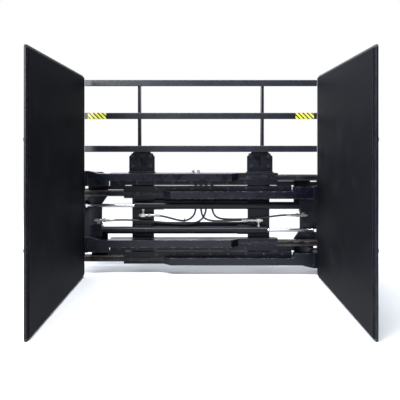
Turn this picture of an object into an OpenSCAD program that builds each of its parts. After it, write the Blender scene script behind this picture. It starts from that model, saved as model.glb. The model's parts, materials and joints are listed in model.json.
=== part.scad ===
// Carton clamp: a hydraulic side-clamping attachment for a lift truck.
// +X is to the right of someone facing the pads' opening, +Y points to the truck, +Z is up.
// The origin is on the floor, under the middle of the whole attachment.
// The left arm owns channels 1 and 3, the right arm owns channels 2 and 4, counted from the top.
// The right arm is the left arm turned half a turn about Y through the body's middle.

/* [Body] */
// Height of the body's middle above the pads' lower edges
body_z = 343; // [300:1:430]
// Channel: height of its section
ch_h = 75; // [66:1:92]
// Channel: depth of its section
ch_d = 60; // [56:1:74]
// Channel: reach past the middle on the side of the arm that it carries
ch_long = 572; // [470:1:700]
// Channel: reach past the middle on the other side
ch_short = 484; // [470:1:600]
// Gap between the two channels of a pair
row_gap = 7; // [5:1:20]
// Clear height between the two inner channels, where the cylinders lie
mid_gap = 255; // [210:1:320]
// Upright: width
up_w = 139; // [110:1:170]
// Upright: distance of its middle from the body's middle
up_x = 370; // [320:1:390]
// Upright: thickness
up_t = 24; // [18:1:30]

/* [Slide bars] */
// Front bar: height
bar_h = 45; // [38:1:50]
// Front bar: depth in front of the channels
bar_d = 49; // [40:1:60]
// Front bar: reach past the body's middle
bar_reach = 236; // [180:1:300]
// Inner rail: height
rail_h = 38; // [30:1:42]
// Neck between the front bar and the inner rail: height
neck_h = 20; // [16:1:24]
// Wear strip: thickness
wear_t = 3.5; // [3:0.1:5]

/* [Clamping] */
// Travel of each arm from rest towards the middle
close_travel = 120; // [60:1:140]
// Travel of each arm from rest outwards
open_travel = 520; // [300:1:560]

/* [Pads] */
// Pad: height
pad_h = 1228; // [1000:1:1480]
// Pad: depth
pad_d = 1020; // [840:1:1240]
// Pad: thickness of the steel plate
plate_t = 10; // [8:1:14]
// Pad: thickness of the rubber sheet
rubber_t = 10; // [8:1:14]
// Pad: corner cut
pad_cut = 8; // [6:1:40]
// Gap from the body's front plane to the pads' rear edges
pad_gap = 80; // [75:1:120]

/* [Cylinders] */
// Barrel: outside diameter
barrel_od = 46; // [42:1:52]
// Barrel: bore
barrel_id = 36; // [30:1:38]
// Rod: diameter
rod_d = 22; // [18:1:26]
// Length of the spacer between piston and gland
stop_tube = 150; // [60:1:200]

/* [Backrest] */
// Rail: height of its section
guard_h = 40; // [30:1:50]
// Rail: thickness
guard_t = 12; // [8:1:16]
// Rail: full length
guard_w = 1476; // [1200:1:1600]
// Height of the top rail's upper edge
guard_top = 1218; // [1150:1:1460]
// Post: thickness
post_t = 15; // [12:1:20]

/* [Carriage] */
// Distance between the two hooks' seats, class 2
hook_span = 407; // [407:1:407]
// Thickness of the carriage bar's lip that a hook takes
lip_t = 16; // [16:1:16]
// Height of a hook's lip
lip_h = 15; // [12:1:16]

/* [Hidden] */
$fn = 48;
slip = 0.3;                 // gap between faces that slide past one another
run = 0.05;                 // radial clearance of a shaft in its bush
weld = 0.1;                 // gap under a curved seat

rear_d = 121;               // from the body's front plane to the hooks' rear faces
face_y = (pad_gap + pad_d - rear_d) / 2;

// Heights of the four channels' middles, from the top one down
row_pitch = ch_h + row_gap;
inner_row = (mid_gap + ch_h) / 2;
outer_row = inner_row + row_pitch;
body_half = outer_row + ch_h / 2;
ROWS = [body_z + outer_row, body_z + inner_row, body_z - inner_row, body_z - outer_row];

// Section of a channel and of the bar in it, from the channel's middle height, for the left arm
lip_w = 10;                 // thickness of the channel's front lips and of its back
rail_top = ch_h / 2 - 10.5; // top of the inner rail
rail_low = rail_top - rail_h;
cav_top = rail_top + slip + wear_t;
cav_low = rail_low - slip - wear_t;
neck_low = rail_low + (rail_h - neck_h) / 2 + 2;
neck_top = neck_low + neck_h;
slot_gap = 2;
cav_y0 = lip_w;
cav_y1 = ch_d - lip_w;
leg_t = 2;                  // thickness of a wear strip's legs
leg_h = 5;                  // their reach past the rail's edge
rail_y0 = cav_y0 + leg_t + slip;
rail_y1 = cav_y1 - leg_t - slip;
bar_top = ch_h / 2 - 0.5;
bar_low = bar_top - bar_h;
bar_gap = 1;                // between the front bar and the channel's front plane
bar_y0 = -bar_gap - bar_d;
bar_cut = 48;               // slanted inner end of the front bar

// Arm base
stop_gap = 8;               // left between arm base and channel when an arm is fully in
base_x = ch_long + close_travel + stop_gap;
base_t = 38;
base_y0 = ch_d + 2;
base_y1 = base_y0 + 20;
base_in = base_x - 65;      // inner edge of the base plate between the rows
ear_in = base_x - 103;      // inner edge of its ears
ear_bot = body_half - 14;
rail_over = 35;             // inner rail's reach past the other arm's base
spine_x = base_x + 45;      // inner edge of the outer spine

// Forward arm and pad
pad_x = base_x + 9;
hub_w = 46;                 // from the pad's plate to the forward arm
beam_x = pad_x + rubber_t + plate_t + hub_w;
beam_t = 38;
beam_h = 78;
pivot_y = -pad_gap - pad_d / 2;
pin_r = 20;
pin_x = beam_x + beam_t / 2;
boss_r = 38;
bush_t = 4;
hub_r = 34;
hub_h = 60;
swing = 3;                  // degrees that a pad turns each way

// Cylinders
cap_h = 82;
cap_l = 79;
cyl_dz = mid_gap / 2 - cap_h / 2 - 8.5;
cyl_y = ch_d / 2;
gland_x = up_x + 50;
gland_l = 40;
barrel_end = base_x - 75;   // base end of the barrel
piston_l = 50;
gland_nose = 30;
piston_x = -gland_x + gland_l + gland_nose + open_travel + stop_tube + 2;
rod_end = base_x + 88;
port_dz = 16;               // height of the fittings from the body's middle
port_run = 74;              // from a fitting's stem to the hose
gland_port = gland_x - 54;
cap_port = barrel_end + 24;

// Valve block
valve_x0 = -78;
valve_x1 = 98;
valve_y1 = ch_d + 54;
valve_z0 = ROWS[0] - 34;
valve_z1 = ROWS[0] + 28;
HOSE_PORTS = [-33, 0, 33, 72];
hose_y = 72;
hose_top = 520;
hose_d = 12;
INLETS = [-50, -16];
VALVE_BOLTS = [valve_x0 + 8, valve_x1 - 14];
valve_bolt_z = ROWS[0] + 18;

// Carriage hooks and what stands on the body
hook_z = hook_span / 2;
hook_y = ch_d + up_t;
lug_x = up_x + 8;
lug_w = 162;
lug_h = 132;
lug_t = 20;
lug_z = body_z + body_half;
post_x = 394;
guard_y = 30;
rail_pitch = (guard_top - guard_h - 760) / 2;
foot_t = 12;

// Hose routes from the valve to the cylinders, from the body's front plane
ROUTE_1 = [[-33, 72, 520], [-33, 72, 470], [-33, 72, 420], [-35, 70, 385], [-48, 64, 352],
    [-75, 55, 330], [-110, 46, 322], [-150, 39, 328], [-200, 34, 342], [-250, 30, 354], [-292, 30, 359]];
ROUTE_2 = [[33, 72, 520], [33, 72, 470], [33, 73, 420], [32, 76, 385], [22, 76, 352], [-2, 70, 322],
    [-45, 58, 305], [-110, 48, 302], [-200, 44, 308], [-320, 44, 318], [-440, 44, 326],
    [-520, 36, 328], [-575, 30, 327]];
ROUTE_3 = [[0, 72, 520], [0, 72, 470], [0, 71, 420], [2, 65, 385], [12, 56, 350], [38, 47, 330],
    [85, 39, 322], [150, 33, 323], [220, 30, 326], [292, 30, 327]];
ROUTE_4 = [[72, 72, 520], [72, 72, 470], [72, 72, 420], [75, 70, 385], [90, 65, 352], [118, 60, 336],
    [155, 55, 331], [220, 52, 330], [300, 52, 332], [400, 49, 342], [480, 42, 353], [530, 34, 359], [575, 30, 359]];

BODY_NODES = ["channel_1", "channel_2", "channel_3", "channel_4", "slide_bearings", "bearing_screws",
    "upright_left", "upright_right", "cross_bars", "upper_hooks", "lower_hooks", "frame_bolts",
    "backrest_lugs", "backrest_post_left", "backrest_post_right", "backrest_rail_lower",
    "backrest_rail_middle", "backrest_rail_upper", "hazard_plates", "cylinder_saddles",
    "barrel_upper", "barrel_lower", "glands", "rod_seals", "base_caps", "port_elbows"];
VALVE_NODES = ["valve_block", "relief_cartridge", "inlet_adapters", "hose_adapters", "cable_tie",
    "hose_1", "hose_2", "hose_3", "hose_4"];
ARM_NODES = ["slide_bar_left_upper", "slide_bar_left_lower", "arm_base_left", "forward_arm_left",
    "rod_left", "piston_left", "pivot_pin_left", "bumpers_left",
    "slide_bar_right_upper", "slide_bar_right_lower", "arm_base_right", "forward_arm_right",
    "rod_right", "piston_right", "pivot_pin_right", "bumpers_right"];
PAD_NODES = ["pad_plate_left", "pad_rubber_left", "pad_spine_left", "pad_bushes_left",
    "pad_plate_right", "pad_rubber_right", "pad_spine_right", "pad_bushes_right"];

// ---- shared shapes ----

// Extrudes an outline drawn in Y and Z along X
module along_x(x0, x1) {
    translate([x0, 0, 0]) rotate([90, 0, 90]) linear_extrude(x1 - x0) children();
}

// Extrudes an outline drawn in X and Z along Y
module along_y(y0, y1) {
    translate([0, y1, 0]) rotate([90, 0, 0]) linear_extrude(y1 - y0) children();
}

// A box between two corners
module box(low, high) {
    translate(low) cube(high - low);
}

// A rectangle between two corners
module area(low, high) {
    translate(low) square(high - low);
}

// A round bar along X, Y or Z
module bar_x(x0, x1, r) {
    translate([min(x0, x1), 0, 0]) rotate([0, 90, 0]) cylinder(r = r, h = abs(x1 - x0));
}

module bar_y(y0, y1, r) {
    translate([0, y1, 0]) rotate([90, 0, 0]) cylinder(r = r, h = y1 - y0);
}

// A hexagon nut or bolt head along X, Y or Z, by its width across flats
module hex(flats, h) {
    cylinder(r = flats / 2 / cos(30), h = h, $fn = 6);
}

// From the body's own heights to the other arm's: half a turn about Y through the middle
module opposite() {
    translate([0, 0, 2 * body_z]) rotate([0, 180, 0]) children();
}

module mirrored() {
    mirror([1, 0, 0]) children();
}

// Puts the body's front plane at its place from the origin
module home() {
    translate([0, face_y, 0]) children();
}

// ---- channels, wear strips and their screws ----

module channel_outline() {
    difference() {
        area([0, -ch_h / 2], [ch_d, ch_h / 2]);
        area([cav_y0, cav_low], [cav_y1, cav_top]);
        area([-1, neck_low - slot_gap], [cav_y0 + 1, neck_top + slot_gap]);
    }
}

// Row is 0 or 2: a channel that carries a bar of the left arm, drilled for the valve or not
module channel(row, drilled = false) {
    color("#23262d")
    difference() {
        union() {
            translate([0, 0, ROWS[row]]) along_x(-ch_long, ch_short) channel_outline();
            box([-ch_long, tie_y0, ROWS[row] - tie_low], [-ch_short, ch_d, ROWS[row] - ch_h / 2 + 1]);
            box([-ch_long - tie_over, tie_y0, ROWS[row] - tie_low], [-ch_long + 1, ch_d, ROWS[row] - own_h - 2.5]);
        }
        translate([ch_short, ch_d, ROWS[row] + ch_h / 2]) rotate([0, 0, 45])
            cube([24, 24, 12], center = true);
        for (x = SCREWS) {
            translate([x, 0, ROWS[row] + screw_dz]) bar_y(-1, 6, 4);
        }
        if (drilled) {
            for (x = VALVE_BOLTS) {
                translate([x, 0, valve_bolt_z]) bar_y(cav_y1 + 4, ch_d + 1, 5.2);
            }
        }
    }
}

// A tie block below the longer end closes the step beside the next channel, clear of that one's rail
tie_y0 = 14;
tie_over = 18;
tie_low = row_pitch + rail_low - 4;
own_h = 40;

screw_dz = (bar_low - ch_h / 2) / 2;
SCREWS = [for (i = [0:7]) -ch_long + 60 + i * 113];

module bearing_screws_row(row) {
    for (x = SCREWS) {
        translate([x, 0, ROWS[row] + screw_dz]) {
            bar_y(0, 6, 3.9);
            bar_y(-4, 0, 8);
        }
    }
}

// One wear strip: a shallow channel that wraps one edge of the inner rail
module wear_outline() {
    difference() {
        area([cav_y0, rail_top - leg_h], [cav_y1, cav_top]);
        area([cav_y0 + leg_t, rail_top - leg_h - 1], [cav_y1 - leg_t, rail_top + slip]);
    }
}

module wear_strips_row(row) {
    spans = [[-ch_long, -120], [120, ch_short]];
    for (span = spans, side = [1, -1]) {
        translate([0, 0, ROWS[row] + (rail_top + rail_low) / 2])
            scale([1, 1, side])
            translate([0, 0, -(rail_top + rail_low) / 2])
            along_x(span[0] + 2, span[1] - 2) wear_outline();
    }
}

module slide_bearings() {
    color("#d8d2bf") {
        for (row = [0, 2]) {
            wear_strips_row(row);
            opposite() wear_strips_row(row);
        }
    }
}

module bearing_screws() {
    color("#b9bcc0") {
        for (row = [0, 2]) {
            bearing_screws_row(row);
            opposite() bearing_screws_row(row);
        }
    }
}

// ---- body: uprights, cross bars, hooks ----

bolt_dx = 36;
HOOK_BOLTS = [up_x - bolt_dx, up_x + bolt_dx];
low_bolt_z = body_z - hook_z - 30;

module upright() {
    color("#1b1d22")
    difference() {
        box([up_x - up_w / 2, ch_d, body_z - body_half], [up_x + up_w / 2, ch_d + up_t, body_z + body_half]);
        for (x = HOOK_BOLTS) {
            translate([x, 0, low_bolt_z]) bar_y(ch_d + 6, hook_y + 1, 8.2);
        }
    }
}

cross_x = up_x - up_w / 2 + 40;

module cross_bars() {
    color("#1b1d22") {
        box([-cross_x, hook_y, body_z + 77], [cross_x, hook_y + 25, body_z + 127]);
        box([-cross_x, hook_y, body_z - 87], [cross_x, hook_y + 25, body_z - 37]);
    }
}

// Hook over the carriage's upper bar: its seat faces down
module upper_hook() {
    lip_y = hook_y + lip_t + 0.5;
    points = [[hook_y, hook_z], [lip_y, hook_z], [lip_y, hook_z - lip_h], [rear_d - 3, hook_z - lip_h],
        [rear_d, hook_z - lip_h + 3], [rear_d, hook_z + 34], [rear_d - 20, hook_z + 54], [hook_y, hook_z + 54]];
    translate([0, 0, body_z]) along_x(up_x - up_w / 2 + 8, up_x + up_w / 2 - 8) polygon(points);
}

// Bolted hook under the carriage's lower bar, 2 mm below its lower edge
module lower_hook() {
    lip_y = hook_y + lip_t + 0.5;
    points = [[hook_y, -hook_z - 2], [lip_y, -hook_z - 2], [lip_y, -hook_z + lip_h], [rear_d - 3, -hook_z + lip_h],
        [rear_d, -hook_z + lip_h - 3], [rear_d, -hook_z - 40], [rear_d - 8, -hook_z - 48], [hook_y, -hook_z - 48]];
    difference() {
        translate([0, 0, body_z]) along_x(up_x - up_w / 2 + 8, up_x + up_w / 2 - 8) polygon(points);
        for (x = HOOK_BOLTS) {
            translate([x, 0, low_bolt_z]) {
                bar_y(hook_y - 1, rear_d + 1, 8.5);
                bar_y(rear_d - 11, rear_d + 1, 15);
            }
        }
    }
}

module upper_hooks() {
    color("#1b1d22") {
        upper_hook();
        mirrored() upper_hook();
    }
}

module lower_hooks() {
    color("#1b1d22") {
        lower_hook();
        mirrored() lower_hook();
    }
}

// A hexagon bolt along Y: its head's front face at y0, its shank reaching from there by length
module bolt_y(y0, length, flats, r, head, side) {
    translate([0, y0, 0]) rotate([side * -90, 0, 0]) {
        cylinder(r = r, h = length);
        translate([0, 0, -head]) hex(flats, head);
    }
}

FOOT_BOLTS = [[lug_x - 56, 40], [lug_x + 56, 40], [lug_x - 56, 104], [lug_x + 56, 104]];

module frame_bolts_side() {
    for (x = HOOK_BOLTS) {
        translate([x, 0, low_bolt_z]) bolt_y(rear_d - 11, rear_d - 11 - ch_d - 8, 24, 8, 10, -1);
    }
    for (p = FOOT_BOLTS) {
        translate([p[0], 0, lug_z + p[1]]) bolt_y(ch_d, lug_t + foot_t - 1, 19, 6, 7, 1);
    }
}

module frame_bolts() {
    color("#8d9094") {
        frame_bolts_side();
        mirrored() frame_bolts_side();
        for (x = VALVE_BOLTS) {
            translate([x, 0, valve_bolt_z]) bolt_y(valve_y1, valve_y1 - ch_d + 5, 17, 5, 6, -1);
        }
    }
}

// ---- load backrest ----

// Lug on top of an upright, with cut upper corners and a slot for lifting tackle
module lug() {
    cut = 29;
    half = lug_w / 2;
    along_y(ch_d, ch_d + lug_t) difference() {
        polygon([[lug_x - half, lug_z], [lug_x + half, lug_z], [lug_x + half, lug_z + lug_h - cut],
            [lug_x + half - cut, lug_z + lug_h], [lug_x - half + cut, lug_z + lug_h],
            [lug_x - half, lug_z + lug_h - cut]]);
        area([lug_x - 6, lug_z + 42], [lug_x + 6, lug_z + 100]);
        for (p = FOOT_BOLTS) {
            translate([p[0], lug_z + p[1]]) circle(r = 6.4);
        }
    }
    box([lug_x - half - 8, ch_d - 12, lug_z], [lug_x + half + 4, ch_d, lug_z + 6]);
}

module backrest_lugs() {
    color("#1b1d22") {
        lug();
        mirrored() lug();
    }
}

// Post with its bolted foot behind the lug
module post() {
    foot_y = ch_d + lug_t;
    color("#23262d") {
        along_x(post_x - post_t / 2, post_x + post_t / 2)
            polygon([[guard_y + guard_t, lug_z + lug_h + 4], [foot_y + foot_t - 2, lug_z + lug_h + 4],
                [foot_y + foot_t - 2, lug_z + 20], [rear_d - 6, lug_z + 20], [rear_d - 6, lug_z + lug_h + 40],
                [guard_y + guard_t + 60, guard_top], [guard_y + guard_t, guard_top]]);
        along_y(foot_y, foot_y + foot_t) difference() {
            area([lug_x - 70, lug_z + 20], [lug_x + 70, lug_z + lug_h - 10]);
            for (p = FOOT_BOLTS) {
                translate([p[0], lug_z + p[1]]) circle(r = 6.4);
            }
        }
    }
}

GUARD_Z = [guard_top - guard_h - 2 * rail_pitch, guard_top - guard_h - rail_pitch, guard_top - guard_h];

module backrest_rail(i) {
    color("#2b2e37")
    box([-guard_w / 2, guard_y, GUARD_Z[i]], [guard_w / 2, guard_y + guard_t, GUARD_Z[i] + guard_h]);
}

// Plain striped plates on the middle rail
module hazard_plates() {
    for (side = [-1, 1], i = [0:4]) {
        color(i % 2 == 0 ? "#c9c84a" : "#1c1c1a")
        box([side * 659 - 58 + i * 23.2, guard_y - 1, GUARD_Z[1] + 1],
            [side * 659 - 58 + (i + 1) * 23.2, guard_y, GUARD_Z[1] + guard_h - 1]);
    }
}

// ---- cylinders: the lower one as drawn, the upper one by half a turn ----

// Everything on the lower cylinder is placed from its axis
module on_axis() {
    translate([0, cyl_y, body_z - cyl_dz]) children();
}

module barrel() {
    color("#262a35")
    on_axis() difference() {
        bar_x(-barrel_end, gland_x - gland_l, barrel_od / 2);
        bar_x(-barrel_end - 1, gland_x - gland_l + 1, barrel_id / 2);
        translate([gland_port, 0, 0]) cylinder(r = 5, h = barrel_od);
    }
}

module gland() {
    on_axis() difference() {
        union() {
            bar_x(gland_x - gland_l, gland_x, barrel_od / 2);
            bar_x(gland_x - gland_l - gland_nose, gland_x - gland_l, barrel_id / 2 - weld);
        }
        bar_x(gland_x - gland_l - gland_nose - 1, gland_x + 1, rod_d / 2 + run);
        bar_x(gland_x - 8, gland_x + 1, rod_d / 2 + 5);
    }
}

module glands() {
    color("#3a3e48") {
        gland();
        opposite() gland();
    }
}

module rod_seals() {
    color("#3c5a3a") {
        rod_seal();
        opposite() rod_seal();
    }
}

module rod_seal() {
    on_axis() difference() {
        bar_x(gland_x - 7.5, gland_x + 2, rod_d / 2 + 4.8);
        bar_x(gland_x - 9, gland_x + 3, rod_d / 2 + run);
    }
}

// Base end of the barrel, with a round upper corner and a port
module base_cap() {
    r = 26;
    x0 = -barrel_end - cap_l;
    on_axis() {
        difference() {
            along_y(-27, 27) {
                area([x0 + r, -cap_h / 2], [-barrel_end, cap_h / 2]);
                area([x0, -cap_h / 2], [x0 + r, cap_h / 2 - r]);
                translate([x0 + r, cap_h / 2 - r]) circle(r = r);
            }
            translate([-cap_port, 0, 0]) cylinder(r = 5, h = cap_h);
        }
        bar_x(-barrel_end, -barrel_end + 25, barrel_id / 2 - weld);
    }
}

module base_caps() {
    color("#20242c") {
        base_cap();
        opposite() base_cap();
    }
}

module saddle(x) {
    on_axis() difference() {
        box([x - 50, 6, -28], [x + 50, ch_d - cyl_y, 28]);
        bar_x(x - 51, x + 51, barrel_od / 2 + weld);
    }
}

module cylinder_saddles() {
    color("#1b1d22") {
        for (x = [-up_x, gland_port - 82]) {
            saddle(x);
            opposite() saddle(x);
        }
    }
}

// Elbow fitting: its stem at x, its seat at z0 from the axis, the hose end towards the middle
module elbow(x, z0, dir) {
    z1 = cyl_dz - port_dz;
    end = x - dir * port_run;
    on_axis() {
        translate([x, 0, z0]) cylinder(r = 7, h = z1 - z0);
        translate([x, 0, z0]) hex(19, 8);
        translate([x, 0, z1]) cube([28, 19, 19], center = true);
        translate([0, 0, z1]) {
            bar_x(x - dir * 14, end + dir * 30, 8);
            translate([x - dir * 31, 0, 0]) rotate([0, dir * -90, 0]) hex(22, 14);
            difference() {
                bar_x(end, end + dir * 32, 8.5);
                bar_x(end + dir * 2, end, 7.5);
            }
            translate([x + dir * 14, 0, 0]) rotate([0, dir * 90, 0]) hex(17, 12);
        }
    }
}

module port_elbow_pair() {
    elbow(gland_port, barrel_od / 2 + 0.05, 1);
    elbow(-cap_port, cap_h / 2, -1);
}

module port_elbows() {
    color("#c9c6bd") {
        port_elbow_pair();
        opposite() port_elbow_pair();
    }
}

// ---- valve, adapters and hoses ----

module valve_block() {
    color("#5d6066")
    difference() {
        box([valve_x0, ch_d, valve_z0], [valve_x1, valve_y1, valve_z1]);
        for (x = HOSE_PORTS) {
            translate([x, hose_y, valve_z0 - 1]) cylinder(r = 7, h = 22);
        }
        for (x = INLETS) {
            translate([x, ch_d + 26, valve_z1 - 19]) cylinder(r = 7, h = 20);
        }
        translate([valve_x1 - 40, ch_d + 40, (valve_z0 + valve_z1) / 2]) bar_x(0, 41, 12);
        for (x = VALVE_BOLTS) {
            translate([x, 0, valve_bolt_z]) bar_y(ch_d - 1, valve_y1 + 1, 5.4);
        }
    }
}

module relief_cartridge() {
    color("#c9c6bd")
    translate([0, ch_d + 40, (valve_z0 + valve_z1) / 2]) {
        bar_x(valve_x1 - 38, valve_x1, 11.95);
        translate([valve_x1, 0, 0]) rotate([0, 90, 0]) hex(27, 14);
        bar_x(valve_x1 + 14, valve_x1 + 34, 7);
        translate([valve_x1 + 34, 0, 0]) rotate([0, 90, 0]) hex(13, 8);
    }
}

// Open inlet adapters for the truck's hoses
module inlet_adapters() {
    color("#c9c6bd")
    for (x = INLETS) {
        translate([x, ch_d + 26, 0]) difference() {
            union() {
                translate([0, 0, valve_z1 - 18]) cylinder(r = 6.95, h = 18);
                translate([0, 0, valve_z1]) hex(22, 9);
                translate([0, 0, valve_z1 + 9]) cylinder(r = 8, h = 14);
            }
            translate([0, 0, valve_z1 - 19]) cylinder(r = 4, h = 60);
        }
    }
}

module hose_adapters() {
    color("#c9c6bd")
    for (x = HOSE_PORTS) {
        translate([x, hose_y, 0]) {
            translate([0, 0, valve_z0]) cylinder(r = 6.95, h = 18);
            translate([0, 0, valve_z0 - 12]) hex(19, 12);
            translate([0, 0, hose_top]) cylinder(r = 8.5, h = valve_z0 - 12 - hose_top);
        }
    }
}

// Tube along a route: rings of points across the bisected direction at each point
function unit(v) = v / norm(v);
function heading(route, i) = unit(route[min(i + 1, len(route) - 1)] - route[max(i - 1, 0)]);
function ring(route, i, r, n) =
    let (t = heading(route, i), u = unit(cross(t, [0, 1, 0.02])), w = cross(t, u))
    [for (k = [0:n - 1]) route[i] + r * (cos(360 * k / n) * u + sin(360 * k / n) * w)];

// Points between the route's own, on a smooth curve through them
function curve(a, b, c, d, t) = 0.5 * (2 * b + (c - a) * t + (2 * a - 5 * b + 4 * c - d) * t * t
    + (3 * b - a - 3 * c + d) * t * t * t);
function smooth(p) = [for (i = [0:len(p) - 2], t = [0, 0.5])
    curve(p[max(i - 1, 0)], p[i], p[i + 1], p[min(i + 2, len(p) - 1)], t), p[len(p) - 1]];

module hose(points, d) {
    n = 8;
    route = smooth(points);
    last = len(route) - 1;
    rings = [for (i = [0:last]) each ring(route, i, d / 2, n)];
    sides = [for (i = [0:last - 1], k = [0:n - 1])
        let (a = i * n + k, b = i * n + (k + 1) % n) [a, b, b + n, a + n]];
    ends = [[for (k = [n - 1:-1:0]) k], [for (k = [0:n - 1]) last * n + k]];
    color("#17181c") polyhedron(rings, concat(sides, ends), convexity = 6);
}

// Tie round hoses 1 and 2 where they run together
module cable_tie() {
    color("#101114")
    translate([-106, 48, 312]) rotate([0, 90, 0]) difference() {
        union() {
            cylinder(r = 19, h = 5);
            translate([-23, -4, -1]) cube([9, 8, 7]);
        }
        translate([0, 0, -1]) cylinder(r = 17.2, h = 7);
    }
}

// ---- arms: the left arm as drawn, the right arm by half a turn ----

module slide_bar(row) {
    z = ROWS[row];
    color("#2c313c")
    union() {
        box([-base_x, rail_y0, z + rail_low], [base_x + rail_over, rail_y1, z + rail_top]);
        box([-base_x, 1, z + neck_low], [base_x + rail_over, rail_y0, z + neck_top]);
        box([-base_x, -bar_gap, z + neck_low], [bar_reach, 2, z + neck_top]);
        translate([0, 0, z + bar_low]) linear_extrude(bar_h)
            polygon([[-base_x, bar_y0], [bar_reach - bar_cut, bar_y0], [bar_reach, -bar_gap],
                [-base_x, -bar_gap]]);
        box([-base_x, bar_y0, z - ch_h / 2 + 0.5], [-ch_long - 2, -6, z + bar_low + 1]);
    }
}

// Heights that the other arm's rails pass through, and this arm's own rows
pass_low = [ROWS[1] - rail_top - 11, ROWS[3] - rail_top - 11];
pass_top = [ROWS[1] - rail_low + 30, ROWS[3] - rail_low + 30];
own_low = [ROWS[0] - own_h, ROWS[2] - own_h];
// Lightening slots in the base plate: lower and upper edge, and inner end
SLOTS = [[ROWS[1] + 17, ROWS[1] + 36, base_x + 22], [ROWS[3] + 6, ROWS[3] + 22, base_x]];
flare = 17;

module base_outline() {
    mid = body_z;
    difference() {
        polygon([[-beam_x, mid - ear_bot + 12], [-ear_in, mid - ear_bot + 12], [-ear_in, ROWS[2] + 74],
            [-base_in, ROWS[2] + 116], [-base_in, mid + 84], [-ear_in, ROWS[1] - 28], [-ear_in, mid + body_half - 14],
            [-base_in, mid + body_half + 4], [-beam_x, mid + body_half + 4]]);
        for (slot = SLOTS) {
            area([-spine_x, slot[0]], [-slot[2], slot[1]]);
        }
    }
}

module own_block(i) {
    row = ROWS[2 * i];
    box([-beam_x, bar_y0, own_low[i]], [-base_x, base_y1, row + bar_top]);
    along_y(bar_y0, -2) polygon([[-base_x - base_t, row + bar_top - 1], [-base_x, row + bar_top - 1],
        [-base_x, row + bar_top], [-base_x + 72, row + bar_top], [-base_x + 40, row + bar_top + 9],
        [-base_x, row + bar_top + flare], [-base_x - base_t, row + bar_top + flare]]);
}

anchor_x = base_x + 29;
anchor_l = 36;

module arm_base() {
    rod_z = body_z + cyl_dz;
    color("#1b1d22")
    difference() {
        union() {
            along_y(base_y0, base_y1) base_outline();
            box([-base_x - base_t, base_y0, ROWS[2]], [-base_x, base_y1 + 20, pass_low[0]]);
            box([-base_x - base_t, base_y0, pass_top[0]], [-base_x, base_y1 + 20, body_z + body_half + 4]);
            own_block(0);
            own_block(1);
            box([-anchor_x - anchor_l, cyl_y - 26, rod_z - 30], [-anchor_x, base_y0 + 1, rod_z + 30]);
        }
        translate([0, cyl_y, rod_z]) bar_x(-anchor_x - anchor_l - 1, -anchor_x + 1, rod_d / 2 + weld);
    }
}

// Two beams outside the pad, with bosses for the pivot pin
module forward_arm() {
    nose = pivot_y - 240;
    color("#1f2228")
    for (z = own_low) {
        difference() {
            union() {
                along_x(-beam_x - beam_t, -beam_x) polygon([[base_y1, z], [base_y1, z + beam_h],
                    [pivot_y + 60, z + beam_h], [nose, z + beam_h - 14], [nose, z + 14], [pivot_y + 60, z]]);
                translate([-pin_x, pivot_y, z]) cylinder(r = boss_r, h = beam_h);
            }
            translate([-pin_x, pivot_y, z - 1]) cylinder(r = pin_r + run, h = beam_h + 2);
        }
    }
}

module pivot_pin() {
    color("#9a9da2")
    translate([-pin_x, pivot_y, 0]) {
        translate([0, 0, own_low[1] - 6]) cylinder(r = pin_r, h = own_low[0] + beam_h + 6 - own_low[1]);
        translate([0, 0, own_low[0] + beam_h]) cylinder(r = pin_r + 8, h = 8);
        translate([0, 0, own_low[1] - 12]) cylinder(r = pin_r + 8, h = 12);
    }
}

// Rubber stops between forward arm and pad, ahead of the pivot and behind it
BUMPERS = [[-200, 18], [390, 20]];

module bumpers() {
    color("#151515")
    for (z = own_low, b = BUMPERS) {
        length = hub_w - abs(b[0]) * tan(swing) - 1;
        translate([0, pivot_y + b[0], z + beam_h / 2]) bar_x(-beam_x, -beam_x + length, b[1]);
    }
}

// Rod of the lower cylinder, with its lock nuts
module rod() {
    color("#c9ccd1")
    on_axis() {
        bar_x(-piston_x - piston_l - 14, rod_end, rod_d / 2);
        translate([anchor_x - 14, 0, 0]) rotate([0, 90, 0]) ring_nut();
        translate([anchor_x + anchor_l, 0, 0]) rotate([0, 90, 0]) ring_nut();
    }
}

module ring_nut() {
    difference() {
        hex(34, 14);
        translate([0, 0, -1]) cylinder(r = rod_d / 2 + weld, h = 16);
    }
}

module piston() {
    color("#6e7176")
    on_axis() difference() {
        union() {
            bar_x(-piston_x - piston_l, -piston_x, barrel_id / 2 - run);
            bar_x(-piston_x, -piston_x + stop_tube, rod_d / 2 + 4);
        }
        bar_x(-piston_x - piston_l - 1, -piston_x + stop_tube + 1, rod_d / 2 + run);
        for (i = [1:3]) {
            translate([-piston_x - i * 13, 0, 0]) rotate([0, 90, 0]) difference() {
                cylinder(r = barrel_id / 2 + 1, h = 3, center = true);
                cylinder(r = barrel_id / 2 - 2.5, h = 4, center = true);
            }
        }
    }
}

// ---- pads: the right pad as drawn, the left pad mirrored ----

PAD_Y = [-pad_gap - pad_d, -pad_gap];
border = 8;
bevel = rubber_t - 2;

// Rectangle with four cut corners
module cut_area(low, high, c) {
    polygon([[low.x + c, low.y], [high.x - c, low.y], [high.x, low.y + c], [high.x, high.y - c],
        [high.x - c, high.y], [low.x + c, high.y], [low.x, high.y - c], [low.x, low.y + c]]);
}

module pad_plate() {
    color("#1d1f24")
    along_x(pad_x + rubber_t, pad_x + rubber_t + plate_t)
        cut_area([PAD_Y[0], 0], [PAD_Y[1], pad_h], pad_cut);
}

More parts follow.
